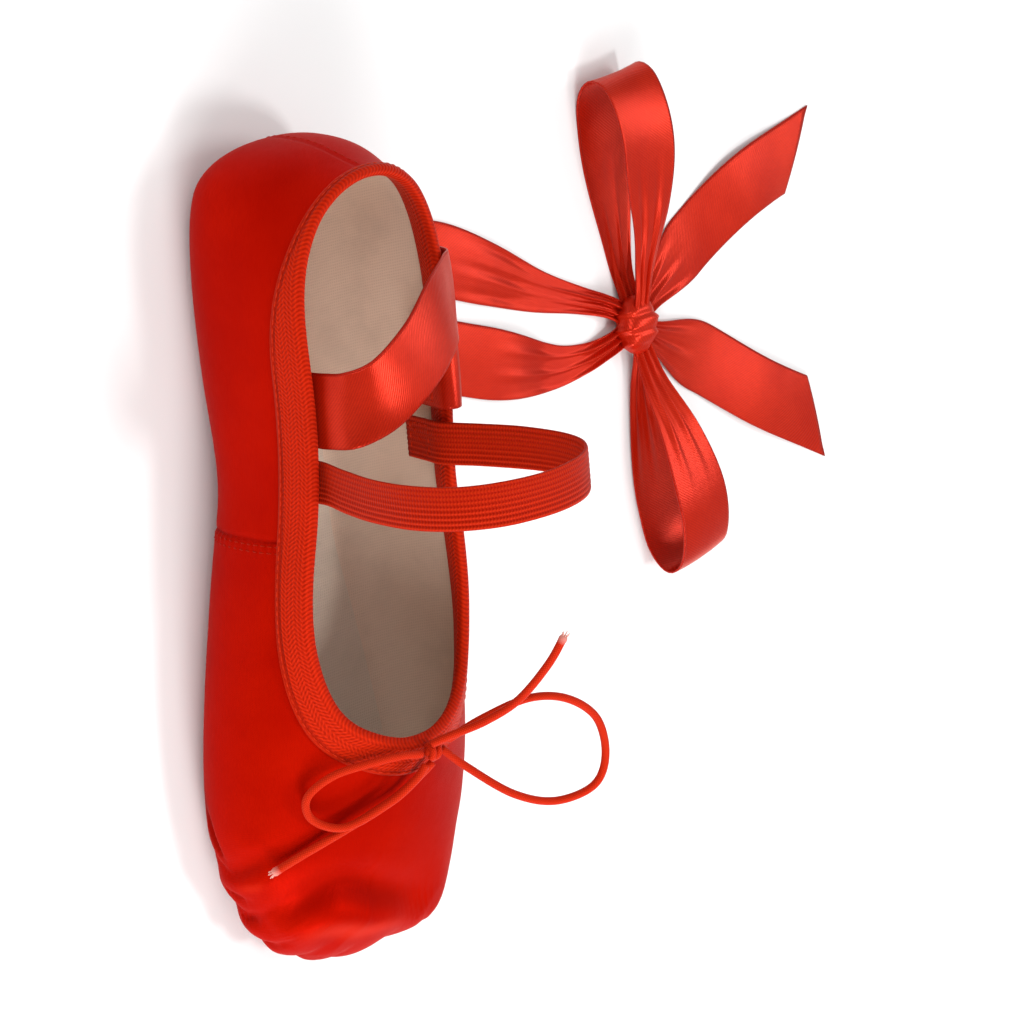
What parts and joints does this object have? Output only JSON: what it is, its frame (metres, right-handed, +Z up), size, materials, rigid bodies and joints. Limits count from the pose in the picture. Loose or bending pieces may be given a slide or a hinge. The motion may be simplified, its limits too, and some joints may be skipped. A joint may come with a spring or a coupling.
{
  "type": "ballet shoe",
  "caption": "Soft split-sole ballet slipper of red satin with taped collar, elastic instep strap, drawstring bow and tied ankle ribbons.",
  "frame": {"origin": "on the floor under the middle of the shoe's length and width, measured without the cord and the ribbons", "axes": "+X to the toe, +Y to the side where the ribbons lie, +Z up"},
  "size_m": [0.236, 0.2817, 0.111],
  "materials": {
    "satin": "deep scarlet satin with a fine diagonal grain",
    "suede": "dark red suede, napped",
    "lining": "plain cotton lining",
    "tape": "herringbone cotton tape, matt red",
    "elastic": "flat elastic with fine lengthwise ribs",
    "cord": "round braided elastic cord, red",
    "ribbon": "glossy red satin ribbon"
  },
  "bodies": {
    "root": {"upper": "satin", "outsole_forefoot": "suede", "outsole_heel": "suede", "insole": "lining", "binding": "tape", "strap_elastic": "elastic", "drawstring_knot": "cord", "drawstring_loop_near": "cord", "drawstring_loop_far": "cord", "drawstring_end_near": "cord", "drawstring_end_far": "cord", "ribbon_near": "ribbon", "ribbon_far": "ribbon", "ribbon_knot": "ribbon", "ribbon_loop_heel": "ribbon", "ribbon_loop_toe": "ribbon", "ribbon_tail_heel": "ribbon", "ribbon_tail_toe": "ribbon"}
  },
  "joints": []
}
